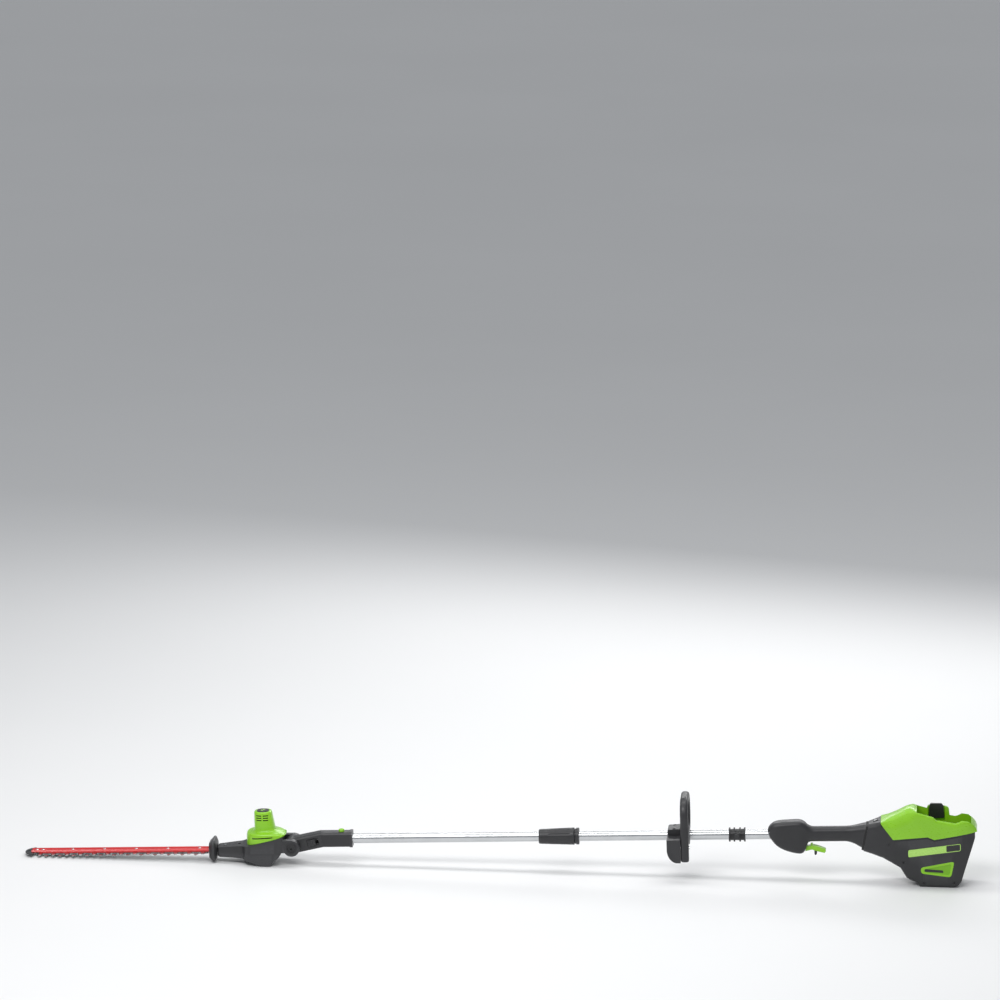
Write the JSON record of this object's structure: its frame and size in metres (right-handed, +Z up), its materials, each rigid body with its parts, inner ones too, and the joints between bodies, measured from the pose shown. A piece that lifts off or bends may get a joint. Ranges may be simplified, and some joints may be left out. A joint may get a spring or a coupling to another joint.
{
  "type": "pole hedge trimmer",
  "caption": "Battery pole hedge trimmer: tilting double-blade cutting head on a two-piece aluminium pole, with a loop handle, trigger grip and open battery housing.",
  "frame": {"origin": "middle of the rear housing foot, on the ground that the tool lies on", "axes": "+X along the tool towards its battery end, with the blade at -X; +Z up from the ground; +Y to the side of the loop handle that has no hand guard"},
  "size_m": [2.6719, 0.152, 0.2361],
  "materials": {
    "black_shell": "satin black moulded plastic",
    "green_shell": "satin lime green moulded plastic",
    "red_bar": "gloss red paint",
    "blade_steel": "ground steel with oil film",
    "bolt_steel": "plated steel",
    "tube_aluminium": "bright drawn aluminium",
    "dark_plastic": "black plastic",
    "bushing_brass": "sintered bronze",
    "gear_steel": "machined steel",
    "motor_steel": "laminated steel and copper windings",
    "soft_black": "soft rubber",
    "badge_black": "gloss black badge",
    "badge_green": "light green panel",
    "board": "circuit board",
    "lead": "insulated lead"
  },
  "bodies": {
    "shaft": {"elbow_left": "black_shell", "elbow_right": "black_shell", "pivot_bushings": "bushing_brass", "lock_spring": "bolt_steel", "latch_spring": "bolt_steel", "front_pole": "tube_aluminium", "coupler_core": "tube_aluminium", "coupler_collar": "black_shell", "rear_pole": "tube_aluminium", "pole_leads": "lead", "strap_collar_upper": "dark_plastic", "strap_collar_lower": "dark_plastic", "housing_screws": "bolt_steel", "grip_left": "black_shell", "grip_right": "black_shell", "trigger_pin": "bolt_steel", "switch_body": "dark_plastic", "isolator_ring": "soft_black", "rear_shell_left": "black_shell", "rear_shell_right": "black_shell", "battery_cover": "green_shell", "battery_cradle": "dark_plastic", "terminal_block": "dark_plastic", "controller_board": "board", "side_windows": "green_shell", "side_badges": "badge_green"},
    "head": {"gearcase_upper": "black_shell", "gearcase_lower": "black_shell", "blade_guard": "black_shell", "motor_cover": "green_shell", "cover_badge": "badge_black", "motor_stator": "motor_steel", "rotor_bearing": "bolt_steel", "gear_bearings": "bolt_steel", "support_bar": "red_bar", "blade_bolts": "bolt_steel", "blade_nuts": "bolt_steel", "tip_guard": "dark_plastic", "gearcase_screws": "bolt_steel", "pivot_caps": "dark_plastic", "pivot_bolt": "bolt_steel", "pivot_nut": "bolt_steel", "tilt_ratchet": "gear_steel"},
    "gear": {"crankshaft": "gear_steel", "drive_gear": "gear_steel"},
    "rotor": {"rotor_shaft": "gear_steel", "cooling_fan": "dark_plastic"},
    "upper_blade": {"upper_blade": "blade_steel"},
    "lower_blade": {"lower_blade": "blade_steel"},
    "lock_slider": {"lock_slider": "dark_plastic"},
    "latch_button": {"latch_button": "green_shell"},
    "coupler_sleeve": {"coupler_sleeve": "black_shell"},
    "loop_handle": {"handle_loop": "black_shell", "handle_clamp": "black_shell", "handle_cap": "black_shell", "handle_bolts": "bolt_steel"},
    "trigger": {"trigger": "green_shell"},
    "trigger_lock": {"trigger_lock": "dark_plastic"},
    "battery_latch": {"battery_latch": "dark_plastic"},
    "power_button": {"power_button": "dark_plastic"}
  },
  "joints": [
    {"name": "head_tilt", "type": "hinge", "parent": "shaft", "child": "head", "pos_m": [-1.80285, 0, 0.05259], "axis": [0, 1, 0], "range_deg": [-90, 60]},
    {"name": "gear_spin", "type": "hinge", "parent": "head", "child": "gear", "pos_m": [-1.90871, 0, 0.04109], "axis": [-0.0424, 0, 0.9991], "continuous": true},
    {"name": "pinion_spin", "type": "hinge", "parent": "head", "child": "rotor", "pos_m": [-1.88248, 0, 0.04221], "axis": [-0.0424, 0, 0.9991], "continuous": true},
    {"name": "upper_blade_slide", "type": "slide", "parent": "head", "child": "upper_blade", "axis": [0.9991, 0, 0.0424], "range_m": [-0.008, 0.008]},
    {"name": "lower_blade_slide", "type": "slide", "parent": "head", "child": "lower_blade", "axis": [0.9991, 0, 0.0424], "range_m": [-0.008, 0.008]},
    {"name": "lock_slide", "type": "slide", "parent": "shaft", "child": "lock_slider", "axis": [0.9703, 0, 0.242], "range_m": [0, 0.008], "stiffness_N_per_m": 500, "springref_m": -0.004},
    {"name": "latch_press", "type": "slide", "parent": "shaft", "child": "latch_button", "axis": [0.0424, 0, -0.9991], "range_m": [0, 0.004], "stiffness_N_per_m": 600, "springref_m": -0.004},
    {"name": "coupler_twist", "type": "hinge", "parent": "shaft", "child": "coupler_sleeve", "pos_m": [-1.06024, 0, 0.10113], "axis": [0.9991, 0, 0.0424], "range_deg": [0, 360]},
    {"name": "handle_slide", "type": "slide", "parent": "shaft", "child": "loop_handle", "axis": [0.9991, 0, 0.0424], "range_m": [-0.22, 0.09]},
    {"name": "trigger_pull", "type": "hinge", "parent": "shaft", "child": "trigger", "pos_m": [-0.36608, 0, 0.08855], "axis": [0, 1, 0], "range_deg": [-14, 0], "stiffness_Nm_per_rad": 0.6, "springref_deg": 8.59},
    {"name": "trigger_lock_press", "type": "slide", "parent": "trigger", "child": "trigger_lock", "axis": [-0.0424, 0, 0.9991], "range_m": [0, 0.008], "stiffness_N_per_m": 120, "springref_m": -0.004},
    {"name": "battery_latch_press", "type": "slide", "parent": "shaft", "child": "battery_latch", "axis": [0.0424, 0, -0.9991], "range_m": [0, 0.005], "stiffness_N_per_m": 500, "springref_m": -0.004},
    {"name": "power_press", "type": "slide", "parent": "shaft", "child": "power_button", "axis": [0.2995, 0, -0.9541], "range_m": [0, 0.0008], "stiffness_N_per_m": 800, "springref_m": -0.001}
  ],
  "couplings": [
    {"joint": "pinion_spin", "follows": "gear_spin", "ratio": -3.2},
    {"joint": "lower_blade_slide", "follows": "upper_blade_slide", "ratio": -1}
  ]
}
